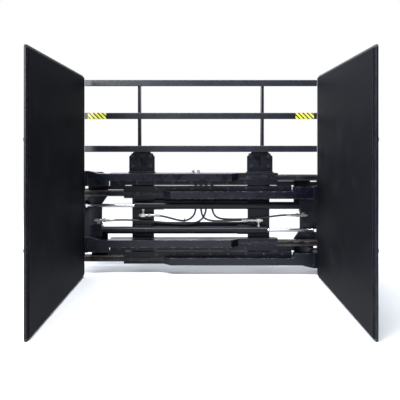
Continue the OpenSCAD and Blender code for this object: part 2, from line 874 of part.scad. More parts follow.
module pad_rubber() {
    x0 = pad_x;
    x1 = pad_x + rubber_t;
    low = [PAD_Y[0] + border, border];
    high = [PAD_Y[1] - border, pad_h - border];
    color("#141418")
    intersection() {
        along_x(x0, x1) cut_area(low, high, pad_cut);
        along_y(low.x, high.x)
            polygon([[x0, low.y + bevel], [x0 + bevel, low.y], [x1, low.y],
                [x1, high.y], [x0 + bevel, high.y], [x0, high.y - bevel]]);
        translate([0, 0, low.y]) linear_extrude(high.y - low.y)
            polygon([[x0, low.x + bevel], [x0 + bevel, low.x], [x1, low.x],
                [x1, high.x], [x0 + bevel, high.x], [x0, high.x - bevel]]);
    }
}

spine_t = 21;
collar = 3;

// Heights of a pad's two hubs: above the lower boss and under the upper one
function hubs(low_top, up_bottom) = [low_top + collar, up_bottom - collar - hub_h];
HUBS_LEFT = hubs(own_low[1] + beam_h, own_low[0]);
HUBS_RIGHT = hubs(ROWS[3] + 40, ROWS[1] - 38);

module pad_spine(hub_zs) {
    x0 = pad_x + rubber_t + plate_t;
    color("#1f2228")
    difference() {
        union() {
            box([x0, pivot_y - 70, 60], [x0 + spine_t, pivot_y + 70, pad_h * 0.75]);
            for (z = [pad_h * 0.3, pad_h * 0.68]) {
                box([x0, PAD_Y[0] + 40, z - 8], [x0 + 16, PAD_Y[1] - 40, z + 8]);
            }
            for (z = hub_zs) {
                box([x0, pivot_y - hub_r, z], [pin_x, pivot_y + hub_r, z + hub_h]);
                translate([pin_x, pivot_y, z]) cylinder(r = hub_r, h = hub_h);
            }
        }
        for (z = hub_zs) {
            translate([pin_x, pivot_y, z - 1]) cylinder(r = pin_r + bush_t + weld, h = hub_h + 2);
        }
    }
}

// Flanged bushes: the lower one's collar is under its hub, the upper one's above
module pad_bushes(hub_zs) {
    color("#a5803e")
    for (i = [0, 1]) {
        z = hub_zs[i];
        translate([pin_x, pivot_y, 0]) difference() {
            union() {
                translate([0, 0, z]) cylinder(r = pin_r + bush_t, h = hub_h);
                translate([0, 0, i == 0 ? z - collar + slip : z + hub_h])
                    cylinder(r = hub_r - 3, h = collar - slip);
            }
            translate([0, 0, z - 10]) cylinder(r = pin_r + run, h = hub_h + 20);
        }
    }
}

// ---- every node ----

home() channel(0, true);  // channel_1
home() opposite() channel(2);  // channel_2
home() channel(2);  // channel_3
home() opposite() channel(0);  // channel_4
home() slide_bearings();
home() bearing_screws();
home() mirrored() upright();  // upright_left
home() upright();  // upright_right
home() cross_bars();
home() upper_hooks();
home() lower_hooks();
home() frame_bolts();
home() backrest_lugs();
home() mirrored() post();  // backrest_post_left
home() post();  // backrest_post_right
home() backrest_rail(0);  // backrest_rail_lower
home() backrest_rail(1);  // backrest_rail_middle
home() backrest_rail(2);  // backrest_rail_upper
home() hazard_plates();
home() cylinder_saddles();
home() barrel();  // barrel_lower
home() opposite() barrel();  // barrel_upper
home() glands();
home() rod_seals();
home() base_caps();
home() port_elbows();
home() valve_block();
home() relief_cartridge();
home() inlet_adapters();
home() hose_adapters();
home() cable_tie();
home() hose(ROUTE_1, hose_d);  // hose_1
home() hose(ROUTE_2, hose_d);  // hose_2
home() hose(ROUTE_3, hose_d);  // hose_3
home() hose(ROUTE_4, hose_d);  // hose_4
home() slide_bar(0);  // slide_bar_left_upper
home() slide_bar(2);  // slide_bar_left_lower
home() opposite() slide_bar(2);  // slide_bar_right_upper
home() opposite() slide_bar(0);  // slide_bar_right_lower
home() arm_base();  // arm_base_left
home() opposite() arm_base();  // arm_base_right
home() forward_arm();  // forward_arm_left
home() opposite() forward_arm();  // forward_arm_right
home() opposite() rod();  // rod_left
home() rod();  // rod_right
home() opposite() piston();  // piston_left
home() piston();  // piston_right
home() pivot_pin();  // pivot_pin_left
home() opposite() pivot_pin();  // pivot_pin_right
home() bumpers();  // bumpers_left
home() opposite() bumpers();  // bumpers_right
home() mirrored() pad_plate();  // pad_plate_left
home() pad_plate();  // pad_plate_right
home() mirrored() pad_rubber();  // pad_rubber_left
home() pad_rubber();  // pad_rubber_right
home() mirrored() pad_spine(HUBS_LEFT);  // pad_spine_left
home() pad_spine(HUBS_RIGHT);  // pad_spine_right
home() mirrored() pad_bushes(HUBS_LEFT);  // pad_bushes_left
home() pad_bushes(HUBS_RIGHT);  // pad_bushes_right
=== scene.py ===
import json
import math

import bmesh
import bpy
from bpy.props import FloatProperty, FloatVectorProperty, PointerProperty
from mathutils import Matrix, Vector


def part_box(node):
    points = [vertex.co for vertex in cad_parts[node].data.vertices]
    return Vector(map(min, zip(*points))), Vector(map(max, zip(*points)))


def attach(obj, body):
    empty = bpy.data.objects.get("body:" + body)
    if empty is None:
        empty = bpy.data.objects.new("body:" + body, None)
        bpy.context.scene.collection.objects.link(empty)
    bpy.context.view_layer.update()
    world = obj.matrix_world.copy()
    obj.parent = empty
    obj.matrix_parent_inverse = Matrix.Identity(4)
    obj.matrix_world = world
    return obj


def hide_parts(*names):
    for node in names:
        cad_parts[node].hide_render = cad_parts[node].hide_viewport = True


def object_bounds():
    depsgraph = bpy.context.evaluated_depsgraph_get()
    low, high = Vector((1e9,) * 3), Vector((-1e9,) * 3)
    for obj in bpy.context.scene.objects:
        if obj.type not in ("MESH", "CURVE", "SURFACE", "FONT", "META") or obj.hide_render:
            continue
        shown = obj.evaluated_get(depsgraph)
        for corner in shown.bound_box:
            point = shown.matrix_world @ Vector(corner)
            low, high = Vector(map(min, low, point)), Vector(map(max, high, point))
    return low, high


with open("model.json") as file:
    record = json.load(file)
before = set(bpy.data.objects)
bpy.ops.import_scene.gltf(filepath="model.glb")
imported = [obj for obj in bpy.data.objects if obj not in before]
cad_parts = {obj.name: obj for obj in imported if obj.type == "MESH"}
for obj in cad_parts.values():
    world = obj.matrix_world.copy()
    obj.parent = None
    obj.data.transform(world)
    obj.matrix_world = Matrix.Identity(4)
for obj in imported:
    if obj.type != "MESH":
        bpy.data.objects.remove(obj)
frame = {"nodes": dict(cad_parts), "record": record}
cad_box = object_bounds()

bl_info = {
    "name": "Carton clamp",
    "version": (1, 0, 0),
    "blender": (4, 5, 0),
    "location": "3D View > Sidebar > Clamp",
    "description": "Finishes the carton clamp: enamel, rubber faces, hoses, welds and stage",
    "category": "Object",
}

MM = 0.001
SAME_POINT = 1e-6  # corners nearer than this are one
FLAT_ANGLE = 0.6  # faces within this many degrees are one flat
BEVEL_ANGLE = 30.0  # edges sharper than this many degrees are rounded
RUBBER_EDGE = 0.0025
HAZARD_EDGE = 0.0003
CAMERA_SPOT = (-0.003, -2.6815, 0.826)
CAMERA_SHIFT = (-0.001, -0.146)
SENSOR = 36.0
FLOOR_HALF = 3.2
FLOOR_DROP = 0.0005  # the floor lies this far under the pads' feet
FACE_Y = 0.4895  # the body's front plane; the hoses' routes are given from it, in millimetres

HOSE_ROUTES = {
    "hose_1": [[-33, 72, 520], [-33, 72, 470], [-33, 72, 420], [-35, 70, 385], [-48, 64, 352], [-75, 55, 330],
               [-110, 46, 322], [-150, 39, 328], [-200, 34, 342], [-250, 30, 354], [-292, 30, 359]],
    "hose_2": [[33, 72, 520], [33, 72, 470], [33, 73, 420], [32, 76, 385], [22, 76, 352], [-2, 70, 322],
               [-45, 58, 305], [-110, 48, 302], [-200, 44, 308], [-320, 44, 318], [-440, 44, 326], [-520, 36, 328],
               [-575, 30, 327]],
    "hose_3": [[0, 72, 520], [0, 72, 470], [0, 71, 420], [2, 65, 385], [12, 56, 350], [38, 47, 330],
               [85, 39, 322], [150, 33, 323], [220, 30, 326], [292, 30, 327]],
    "hose_4": [[72, 72, 520], [72, 72, 470], [72, 72, 420], [75, 70, 385], [90, 65, 352], [118, 60, 336],
               [155, 55, 331], [220, 52, 330], [300, 52, 332], [400, 49, 342], [480, 42, 353], [530, 34, 359],
               [575, 30, 359]],
}


# ---------------------------------------------------------------- sizes and colours that a user changes

class ClampFinish(bpy.types.PropertyGroup):
    """Colours and wear of the finishes"""

    enamel: FloatVectorProperty(name="Enamel", description="Gloss black enamel, linear", subtype="COLOR", size=3,
                                default=(0.0012, 0.0015, 0.0042), min=0, max=1)
    rubber: FloatVectorProperty(name="Rubber", description="Pad rubber, linear", subtype="COLOR", size=3,
                                default=(0.0012, 0.0012, 0.0022), min=0, max=1)
    stripe: FloatVectorProperty(name="Stripe", description="Yellow of the hazard plates, linear", subtype="COLOR",
                                size=3, default=(0.54, 0.52, 0.055), min=0, max=1)
    edge_wear: FloatProperty(name="Edge wear", description="How far paint is rubbed off the edges", default=0.5,
                             min=0, max=1, subtype="FACTOR")


class ClampEdges(bpy.types.PropertyGroup):
    """Edge radii that cutting, rolling and grinding leave"""

    plate: FloatProperty(name="Plate edge", description="Radius on flame-cut plate", default=0.0016, min=0.0003,
                         max=0.004, subtype="DISTANCE", unit="LENGTH")
    bar: FloatProperty(name="Bar edge", description="Radius on rolled bar", default=0.0035, min=0.0005, max=0.006,
                       subtype="DISTANCE", unit="LENGTH")
    turned: FloatProperty(name="Turned edge", description="Break on turned parts", default=0.0007, min=0.0002,
                          max=0.002, subtype="DISTANCE", unit="LENGTH")


class ClampStage(bpy.types.PropertyGroup):
    """Floor, lamps and camera"""

    side: FloatProperty(name="Left lamp", description="Power of the lamp on the left", default=150, min=0,
                        subtype="POWER")
    strip: FloatProperty(name="Strip lamp", description="Power of the narrow lamp that draws the highlights",
                         default=240, min=0, subtype="POWER")
    front: FloatProperty(name="Front lamp", description="Power of the lamp behind the camera", default=5, min=0,
                         subtype="POWER")
    sky: FloatProperty(name="Sky light", description="Strength of the light from above", default=2.2, min=0)
    floor_line: FloatProperty(name="Room light", description="Strength of the light from level and below",
                              default=0.06, min=0)
    lens: FloatProperty(name="Lens", description="Focal length on a 36 mm sensor, in millimetres", default=45.4,
                        min=20, max=120)


# ---------------------------------------------------------------- node helpers

def from_hex(text):
    """A linear colour from an sRGB hex value."""
    parts = [int(text[i:i + 2], 16) / 255 for i in (0, 2, 4)]
    return tuple(p / 12.92 if p <= 0.04045 else ((p + 0.055) / 1.055) ** 2.4 for p in parts) + (1.0,)


def put(tree, kind, settings=None, feeds=None, stops=None):
    """Adds one node.

    Settings are its properties or its sockets' values, feeds are the outputs that its sockets read, and stops are
    a ramp's places and colours.
    """
    node = tree.nodes.new("ShaderNode" + kind)
    for name, value in (settings or {}).items():
        if isinstance(name, str) and hasattr(node, name):
            setattr(node, name, value)
        else:
            node.inputs[name].default_value = value
    for name, source in (feeds or {}).items():
        tree.links.new(source, node.inputs[name])
    if stops:
        ramp = node.color_ramp
        while len(ramp.elements) < len(stops):
            ramp.elements.new(1.0)
        for element, (place, value) in zip(ramp.elements, stops):
            element.position = place
            element.color = (value,) * 3 + (1,) if isinstance(value, (int, float)) else value
    return node


def start_material(name):
    """A new material, its tree, its Principled shader and the object coordinates."""
    material = bpy.data.materials.new(name)
    material.use_nodes = True
    tree = material.node_tree
    shader = tree.nodes["Principled BSDF"]
    return material, tree, shader, put(tree, "TexCoord").outputs["Object"]


def edge_mask(tree, radius, low, high):
    """White within about the radius of an outside or inside corner, black on the flats."""
    rounded = put(tree, "Bevel", {"samples": 4, "Radius": radius})
    true = put(tree, "NewGeometry")
    dot = put(tree, "VectorMath", {"operation": "DOT_PRODUCT"}, {0: rounded.outputs[0], 1: true.outputs["Normal"]})
    return put(tree, "MapRange", {"From Min": high, "From Max": low}, {"Value": dot.outputs["Value"]}).outputs[0]


def facing_up(tree, low=0.6, high=0.95):
    """White on faces that look up, where dust settles."""
    normal = put(tree, "SeparateXYZ", None, {0: put(tree, "NewGeometry").outputs["Normal"]})
    return put(tree, "MapRange", {"From Min": low, "From Max": high}, {"Value": normal.outputs["Z"]}).outputs[0]


def times(tree, a, b):
    """The product of two outputs."""
    return put(tree, "Math", {"operation": "MULTIPLY"}, {0: a, 1: b}).outputs[0]


def scaled(tree, value, factor):
    """An output times a number."""
    return put(tree, "Math", {"operation": "MULTIPLY", 1: factor}, {0: value}).outputs[0]


def spread(tree, value, low, high):
    """An output from 0 to 1, taken to a range from low to high."""
    return put(tree, "MapRange", {"To Min": low, "To Max": high}, {"Value": value}).outputs[0]


def noise(tree, place, scale, detail=2.0, roughness=0.5, distortion=0.0):
    """Cloudy noise from 0 to 1; scale is in features per metre."""
    settings = {"Scale": scale, "Detail": detail, "Roughness": roughness, "Distortion": distortion}
    return put(tree, "TexNoise", settings, {"Vector": place}).outputs[0]


def ramp(tree, value, low, high, start=0.0):
    """The start value up to low, white from high on, and a straight rise between."""
    return put(tree, "ValToRGB", None, {0: value}, [(low, start), (high, 1.0)]).outputs[0]


def relief(tree, height, strength, distance):
    """A normal that is bumped by a height."""
    return put(tree, "Bump", {"Strength": strength, "Distance": distance}, {"Height": height}).outputs[0]


def blend(tree, factor, a, b):
    """Mixes two colours; a colour is a tuple or an output."""
    settings, feeds = {"data_type": "RGBA"}, {"Factor": factor}
    for key, value in ((6, a), (7, b)):
        if isinstance(value, tuple):
            settings[key] = value
        else:
            feeds[key] = value
    return put(tree, "Mix", settings, feeds).outputs[2]


# ---------------------------------------------------------------- finishes

def gloss_enamel(name="Alkyd enamel, sprayed", lighter=1.0, dust=0.12, shine=0.22):
    """Black alkyd enamel over primer on hot-rolled plate: orange peel in the gloss, rubbed edges, settled dust."""
    finish = bpy.context.scene.clamp_finish
    material, tree, shader, place = start_material(name)
    base = tuple(min(1, c * lighter) for c in finish.enamel) + (1,)
    paler = tuple(min(1, c * 1.8 * lighter + 0.001) for c in finish.enamel) + (1,)
    # The film's thickness wanders over about 120 mm
    cloud = noise(tree, place, 8.0, 5.0, 0.6)
    cloud_edge = ramp(tree, cloud, 0.38, 0.66)
    colour = blend(tree, cloud_edge, base, paler)
    # Dust and overspray specks, about 4 mm
    speck = noise(tree, place, 260.0, 2.0, 0.5)
    speck_edge = ramp(tree, speck, 0.62, 0.72)
    settled = times(tree, facing_up(tree), cloud)
    settled = scaled(tree, settled, dust)
    colour = blend(tree, settled, colour, from_hex("6b6862"))
    colour = blend(tree, scaled(tree, speck_edge, 0.04), colour, from_hex("8a8880"))
    # Paint rubbed to a grey primer along the edges, broken up by a 12 mm pattern
    broken = noise(tree, place, 85.0, 6.0, 0.7)
    broken = ramp(tree, broken, 0.48, 0.62)
    worn = times(tree, edge_mask(tree, 0.003, 0.90, 0.995), broken)
    worn = scaled(tree, worn, finish.edge_wear)
    colour = blend(tree, worn, colour, from_hex("6d6f74"))
    tree.links.new(colour, shader.inputs["Base Color"])
    # Gloss falls where dust and rubbing dull it
    dull = spread(tree, cloud, 0.26, 0.44)
    dull = put(tree, "Math", {"operation": "MULTIPLY_ADD", 1: 0.5}, {0: settled, 2: dull}).outputs[0]
    dull = put(tree, "Math", {"operation": "MULTIPLY_ADD", 1: 0.25, "use_clamp": True},
               {0: worn, 2: dull}).outputs[0]
    tree.links.new(dull, shader.inputs["Roughness"])
    # Orange peel of about 6 mm, drawn three times as coarse as sprayed so that it shows
    peel = noise(tree, place, 150.0, 2.0, 0.4)
    bump = put(tree, "Bump", {"Strength": 0.12, "Distance": 0.0008}, {"Height": peel})
    chips = put(tree, "Bump", {"Strength": 0.35, "Distance": 0.0004, "invert": True},
                {"Height": worn, "Normal": bump.outputs[0]})
    tree.links.new(chips.outputs[0], shader.inputs["Normal"])
    shader.inputs["Specular IOR Level"].default_value = shine
    return material


def bar_finish():
    """Rolled bar: enamel on the front bar, rubbed to greasy bright steel on the inner rail where the nylon runs."""
    material, tree, shader, place = start_material("Rolled bar, enamelled and greased")
    finish = bpy.context.scene.clamp_finish
    apart = put(tree, "SeparateXYZ", None, {0: place}).outputs
    film = noise(tree, place, 9.0, 6.0, 0.6)
    film = ramp(tree, film, 0.36, 0.66)
    # Drawing lines 2 mm apart along the bar, coarser than the real ones so that they show
    lines = put(tree, "Mapping", {"Scale": (1.5, 500.0, 500.0)}, {0: place}).outputs[0]
    lines = noise(tree, lines, 1.0, 4.0, 0.65)
    paint = blend(tree, film, tuple(finish.enamel) + (1,), tuple(c * 2.0 + 0.001 for c in finish.enamel) + (1,))
    chipped = noise(tree, place, 38.0, 7.0, 0.7)
    chipped = ramp(tree, chipped, 0.50, 0.60)
    rubbed = times(tree, edge_mask(tree, 0.005, 0.86, 0.992), chipped)
    rubbed = scaled(tree, rubbed, 0.8)
    paint = blend(tree, rubbed, paint, from_hex("85878c"))
    steel = blend(tree, lines, from_hex("57544f"), from_hex("7b776f"))
    steel = blend(tree, film, steel, from_hex("4c443c"))
    # The paint ends up to 7 mm behind the body's front plane, on a ragged line
    ragged = put(tree, "Math", {"operation": "MULTIPLY_ADD", 1: 0.004}, {0: chipped, 2: apart["Y"]}).outputs[0]
    bare = put(tree, "MapRange", {"From Min": FACE_Y + 0.004, "From Max": FACE_Y + 0.007},
               {"Value": ragged}).outputs[0]
    tree.links.new(blend(tree, bare, paint, steel), shader.inputs["Base Color"])
    tree.links.new(scaled(tree, bare, 0.85),
                   shader.inputs["Metallic"])
    rough = spread(tree, film, 0.22, 0.38)
    rough = put(tree, "Math", {"operation": "MULTIPLY_ADD", 1: 0.25, "use_clamp": True},
                {0: rubbed, 2: rough}).outputs[0]
    tree.links.new(rough, shader.inputs["Roughness"])
    peel = put(tree, "Bump", {"Strength": 0.12, "Distance": 0.0004}, {"Height": lines})
    chips = put(tree, "Bump", {"Strength": 0.3, "Distance": 0.0004, "invert": True},
                {"Height": rubbed, "Normal": peel.outputs[0]})
    tree.links.new(chips.outputs[0], shader.inputs["Normal"])
    shader.inputs["Specular IOR Level"].default_value = 0.3
    return material


def plated_steel(name, pale, dark, rough_low, rough_high, patch_scale=60.0):
    """Electroplated steel: mottled plate, greyer in patches, with fine handling marks."""
    material, tree, shader, place = start_material(name)
    patch = noise(tree, place, patch_scale, 5.0, 0.6)
    edge = ramp(tree, patch, 0.35, 0.65)
    colour = blend(tree, edge, from_hex(pale), from_hex(dark))
    worn = edge_mask(tree, 0.0012, 0.88, 0.99)
    colour = blend(tree, scaled(tree, worn, 0.5), colour, from_hex("c9c8c4"))
    tree.links.new(colour, shader.inputs["Base Color"])
    rough = spread(tree, edge, rough_low, rough_high)
    tree.links.new(rough, shader.inputs["Roughness"])
    scratches = noise(tree, place, 900.0, 2.0)
    tree.links.new(relief(tree, scratches, 0.06, 0.0002), shader.inputs["Normal"])
    shader.inputs["Metallic"].default_value = 1.0
    return material


def hard_chrome():
    """Hard chrome on a ground rod: near mirror, with faint grinding rings and an oil wipe."""
    material, tree, shader, place = start_material("Hard chrome, ground")
    rings = put(tree, "Mapping", {"Scale": (700.0, 20.0, 20.0)}, {0: place}).outputs[0]
    rings = noise(tree, rings, 1.0, 2.0)
    wipe = noise(tree, place, 22.0, 4.0)
    tree.links.new(blend(tree, wipe, from_hex("d4d7da"), from_hex("b3b6ba")), shader.inputs["Base Color"])
    tree.links.new(spread(tree, wipe, 0.08, 0.22), shader.inputs["Roughness"])
    tree.links.new(relief(tree, rings, 0.05, 0.0001), shader.inputs["Normal"])
    shader.inputs["Metallic"].default_value = 1.0
    return material


def pad_rubber():
    """Black nitrile sheet bonded to the plate: pressed pebble grain, pale carton dust rubbed in, and a rim paled
    partly by scuffs and partly by a painted highlight.
    """
    finish = bpy.context.scene.clamp_finish
    material, tree, shader, place = start_material("Nitrile rubber, pressed sheet")
    base = tuple(finish.rubber) + (1,)
    cloud = noise(tree, place, 3.2, 5.0, 0.55)
    cloud = ramp(tree, cloud, 0.35, 0.7)
    paler = tuple(c * 1.6 + 0.001 for c in finish.rubber) + (1,)
    colour = blend(tree, cloud, base, paler)
    # Carton dust in soft smears about 150 mm across
    smear = noise(tree, place, 6.5, 7.0, 0.62, distortion=0.4)
    smear = ramp(tree, smear, 0.55, 0.78)
    colour = blend(tree, scaled(tree, smear, 0.05), colour, from_hex("6c6c70"))
    # Pebble grain 3 mm across
    grain = put(tree, "TexVoronoi", {"Scale": 330.0, "feature": "SMOOTH_F1", "Smoothness": 0.5},
                {"Vector": place}).outputs["Distance"]
    colour = blend(tree, scaled(tree, grain, 0.05), colour, from_hex("333338"))
    # The rim is paler: partly scuffed rubber, partly a painted highlight where the bevel faces the front light
    rim_breakup = noise(tree, place, 60.0, 5.0, 0.7)
    rim_breakup = ramp(tree, rim_breakup, 0.36, 0.58, start=0.15)
    scuffed_and_lit_rim = times(tree, edge_mask(tree, 0.004, 0.86, 0.992), rim_breakup)
    colour = blend(tree, scaled(tree, scuffed_and_lit_rim, 0.45), colour, from_hex("7d7f84"))
    tree.links.new(colour, shader.inputs["Base Color"])
    tree.links.new(spread(tree, smear, 0.62, 0.82), shader.inputs["Roughness"])
    tree.links.new(relief(tree, grain, 0.35, 0.0006), shader.inputs["Normal"])
    shader.inputs["IOR"].default_value = 1.45
    shader.inputs["Specular IOR Level"].default_value = 0.05
    return material


def moulded_plastic(name, dark, pale, rough, grain_scale=400.0):
    """Moulded or extruded polymer: fine even grain, slightly paler where handled."""
    material, tree, shader, place = start_material(name)
    cloud = noise(tree, place, 24.0, 5.0, 0.6)
    colour = blend(tree, cloud, from_hex(dark), from_hex(pale))
    worn = scaled(tree, edge_mask(tree, 0.0015, 0.88, 0.99), 0.3)
    tree.links.new(blend(tree, worn, colour, from_hex("6a6a6a")), shader.inputs["Base Color"])
    tree.links.new(spread(tree, cloud, rough - 0.08, rough + 0.08), shader.inputs["Roughness"])
    grain = noise(tree, place, grain_scale, 3.0)
    tree.links.new(relief(tree, grain, 0.2, 0.0003), shader.inputs["Normal"])
    shader.inputs["IOR"].default_value = 1.5
    return material


def hazard_vinyl():
    """Printed vinyl on an aluminium plate: yellow with black slanting bars 20 mm apart, scuffed."""
    finish = bpy.context.scene.clamp_finish
    material, tree, shader, place = start_material("Printed vinyl, hazard stripes")
    slant = put(tree, "Mapping", {"Rotation": (0, math.radians(45), 0)}, {0: place}).outputs[0]
    across = put(tree, "SeparateXYZ", None, {0: slant}).outputs["X"]
    wave = put(tree, "Math", {"operation": "PINGPONG", 1: 0.010}, {0: across}).outputs[0]
    bars = put(tree, "Math", {"operation": "GREATER_THAN", 1: 0.006}, {0: wave}).outputs[0]
    scuff = noise(tree, place, 120.0, 6.0, 0.7)
    scuff = ramp(tree, scuff, 0.5, 0.75)
    colour = blend(tree, bars, tuple(finish.stripe) + (1,), from_hex("141412"))
    colour = blend(tree, scaled(tree, scuff, 0.35), colour, from_hex("76735a"))
    tree.links.new(colour, shader.inputs["Base Color"])
    tree.links.new(spread(tree, scuff, 0.35, 0.6), shader.inputs["Roughness"])
    tree.links.new(relief(tree, scuff, 0.1, 0.0002), shader.inputs["Normal"])
    return material


def hose_cover():
    """Extruded rubber cover over wire braid: fine wrap marks and a dusty bloom."""
    material, tree, shader, place = start_material("Hose cover, wrapped rubber")
    wrap = noise(tree, place, 420.0, 2.0)
    bloom = noise(tree, place, 30.0, 5.0, 0.6)
    bloom = ramp(tree, bloom, 0.45, 0.75)
    dusty = scaled(tree, bloom, 0.35)
    tree.links.new(blend(tree, dusty, from_hex("131316"), from_hex("4a4a4c")), shader.inputs["Base Color"])
    tree.links.new(spread(tree, bloom, 0.38, 0.6), shader.inputs["Roughness"])
    tree.links.new(relief(tree, wrap, 0.3, 0.0004), shader.inputs["Normal"])
    shader.inputs["IOR"].default_value = 1.5
    return material


FINISHES = {}


def make_finishes():
    """One material for each of the record's slots."""
    FINISHES.update({
        "frame_paint": gloss_enamel(),
        # The rails take the frame's enamel 1.6 times paler: painted sheen standing in for the light that the rails
        # mirror
        "rail_paint": gloss_enamel("Alkyd enamel, rails, paler for painted sheen", lighter=1.6, dust=0.2, shine=0.5),
        "bar_steel": bar_finish(),
        "nylon": moulded_plastic("Cast nylon, natural", "b9b19a", "cfc8b2", 0.45),
        "zinc": plated_steel("Zinc plate, passivated", "bdbdb6", "8d8d88", 0.24, 0.42),
        "seal": moulded_plastic("Polyurethane seal", "1c1d20", "2c2d31", 0.4),
        "block": plated_steel("Anodised aluminium block", "5d5f63", "4a4c50", 0.34, 0.48),
        "stripe": hazard_vinyl(),
        "tie": moulded_plastic("Nylon tie, moulded", "101012", "1c1c1f", 0.38),
        "hose": hose_cover(),
        "chrome": hard_chrome(),
        "piston": plated_steel("Turned cast iron", "8a8a88", "6c6c6b", 0.3, 0.45),
        "pin_steel": plated_steel("Ground alloy pin, greased", "9a9791", "6e6a63", 0.22, 0.4),
        "rubber": pad_rubber(),
        "bronze": plated_steel("Sintered bronze", "a97c45", "7d5a32", 0.3, 0.45),
        "black_bolt": plated_steel("Black oxide bolt", "2a2b2e", "3c3d40", 0.34, 0.5),
        "weld": gloss_enamel("Weld bead, painted over", lighter=1.3, dust=0.2),
    })


# ---------------------------------------------------------------- making pieces

def add_piece(name, mesh_or_curve, body, slot, finish=None, stands_for=()):
    """Puts a finished piece in the scene, on its body and with its finish."""
    piece = bpy.data.objects.new(name, mesh_or_curve)
    bpy.context.scene.collection.objects.link(piece)
    piece.data.materials.append(FINISHES[finish or slot])
    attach(piece, body)
    if stands_for:
        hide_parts(*stands_for)
    return piece


def to_mesh(shape, name, smooth_angle=35.0):
    """Turns a bmesh into a mesh with its normals outwards and its flats kept flat."""
    bmesh.ops.recalc_face_normals(shape, faces=shape.faces)
    for face in shape.faces:
        face.smooth = True
    for edge in shape.edges:
        if len(edge.link_faces) == 2 and edge.calc_face_angle(0.0) > math.radians(smooth_angle):
            edge.smooth = False
    mesh = bpy.data.meshes.new(name)
    shape.to_mesh(mesh)
    shape.free()
    return mesh


def turned(profile, start, along, shape=None, sides=24):
    """Adds a turned part whose profile, (distance along, radius) pairs in metres, is closed onto the axis."""
    shape = shape or bmesh.new()
    axis = Vector(along).normalized()
    side = axis.orthogonal().normalized()
    origin = Vector(start)
    line = [origin + axis * profile[0][0]]
    line += [origin + axis * a + side * r for a, r in profile]
    line.append(origin + axis * profile[-1][0])
    points = [shape.verts.new(p) for p in line]
    edges = [shape.edges.new(pair) for pair in zip(points, points[1:])]
    bmesh.ops.spin(shape, geom=points + edges, cent=origin, axis=axis, angle=math.tau, steps=sides, use_merge=True)
    bmesh.ops.remove_doubles(shape, verts=shape.verts, dist=SAME_POINT)
    return shape


def weld(shape, start, end, leg, pitch=0.006):
    """Adds a weld bead: a rippled round run lying half in its corner."""
    start, end = Vector(start), Vector(end)
    length = (end - start).length
    ripples = max(3, round(length / pitch))
    profile = [(0.0, leg * 0.35)]
    for i in range(ripples):
        profile.append(((i + 0.35) * length / ripples, leg * 0.62))
        profile.append(((i + 0.95) * length / ripples, leg * 0.52))
    profile.append((length, leg * 0.3))
    return turned(profile, start, end - start, shape, sides=8)


def rounded(node, radius, segments, finish=None):
    """A copy of a CAD node with its loose triangles joined and its edges rounded, standing for the node."""
    source = frame["nodes"][node]
    shape = bmesh.new()
    shape.from_mesh(source.data)
    bmesh.ops.remove_doubles(shape, verts=shape.verts, dist=2 * SAME_POINT)
    bmesh.ops.dissolve_degenerate(shape, edges=shape.edges, dist=SAME_POINT)
    bmesh.ops.dissolve_limit(shape, angle_limit=math.radians(FLAT_ANGLE), verts=shape.verts, edges=shape.edges,
                             use_dissolve_boundaries=False, delimit=set())
    mesh = to_mesh(shape, node + "_rounded")
    piece = add_piece(node + "_rounded", mesh, BODY_OF[node], SLOT_OF[node], finish, (node,))
    soften = piece.modifiers.new("Rounded edges", "BEVEL")
    soften.width, soften.segments, soften.limit_method = radius, segments, "ANGLE"
    soften.angle_limit, soften.harden_normals = math.radians(BEVEL_ANGLE), True
    soften.use_clamp_overlap, soften.miter_outer = True, "MITER_ARC"
    return piece


BODY_OF = {node: body for body, nodes in frame["record"]["behaviour"]["bodies"].items() for node in nodes}
SLOT_OF = {part["node"]: part["material_slot"] for part in frame["record"]["subparts"]}

HOSE_DIAMETER = 0.012

FLAME_CUT = ["channel_1", "channel_2", "channel_3", "channel_4", "upright_left", "upright_right", "upper_hooks",
             "lower_hooks", "backrest_lugs", "backrest_post_left", "backrest_post_right", "cylinder_saddles",
             "arm_base_left", "arm_base_right", "pad_spine_left", "pad_spine_right", "pad_plate_left",
             "pad_plate_right"]
ROLLED = ["cross_bars", "backrest_rail_lower", "backrest_rail_middle", "backrest_rail_upper",
          "slide_bar_left_upper", "slide_bar_left_lower", "slide_bar_right_upper", "slide_bar_right_lower",
          "forward_arm_left", "forward_arm_right", "slide_bearings"]
BLACK_BOLTS = ["frame_bolts", "bearing_screws"]
TURNED = ["barrel_upper", "barrel_lower", "glands", "base_caps", "frame_bolts", "bearing_screws", "rod_left",
          "rod_right", "rod_seals", "pivot_pin_left", "pivot_pin_right", "pad_bushes_left", "pad_bushes_right",
          "port_elbows", "valve_block", "relief_cartridge", "inlet_adapters", "hose_adapters", "bumpers_left",
          "bumpers_right", "cable_tie"]


def catmull(points, steps):
    """Points along the smooth curve through the given ones, so many to each stretch."""
    line = []
    for i in range(len(points) - 1):
        a, b = points[max(i - 1, 0)], points[i]
        c, d = points[i + 1], points[min(i + 2, len(points) - 1)]
        for k in range(steps):
            t = k / steps
            line.append(0.5 * (2 * b + (c - a) * t + (2 * a - 5 * b + 4 * c - d) * t * t
                               + (3 * b - a - 3 * c + d) * t * t * t))
    return line + [points[-1]]


def in_row(point):
    """A route's point, in metres in the shared frame."""
    return Vector((point[0] * MM, FACE_Y + point[1] * MM, point[2] * MM))


class CLAMP_OT_finishes(bpy.types.Operator):
    """Makes the materials and lays them on the nodes that stay"""

    bl_idname = "clamp.finishes"
    bl_label = "Finishes"

    def execute(self, context):
        make_finishes()
        for node, thing in frame["nodes"].items():
            for place in thing.material_slots:
                place.material = FINISHES[SLOT_OF[node]]
        return {"FINISHED"}


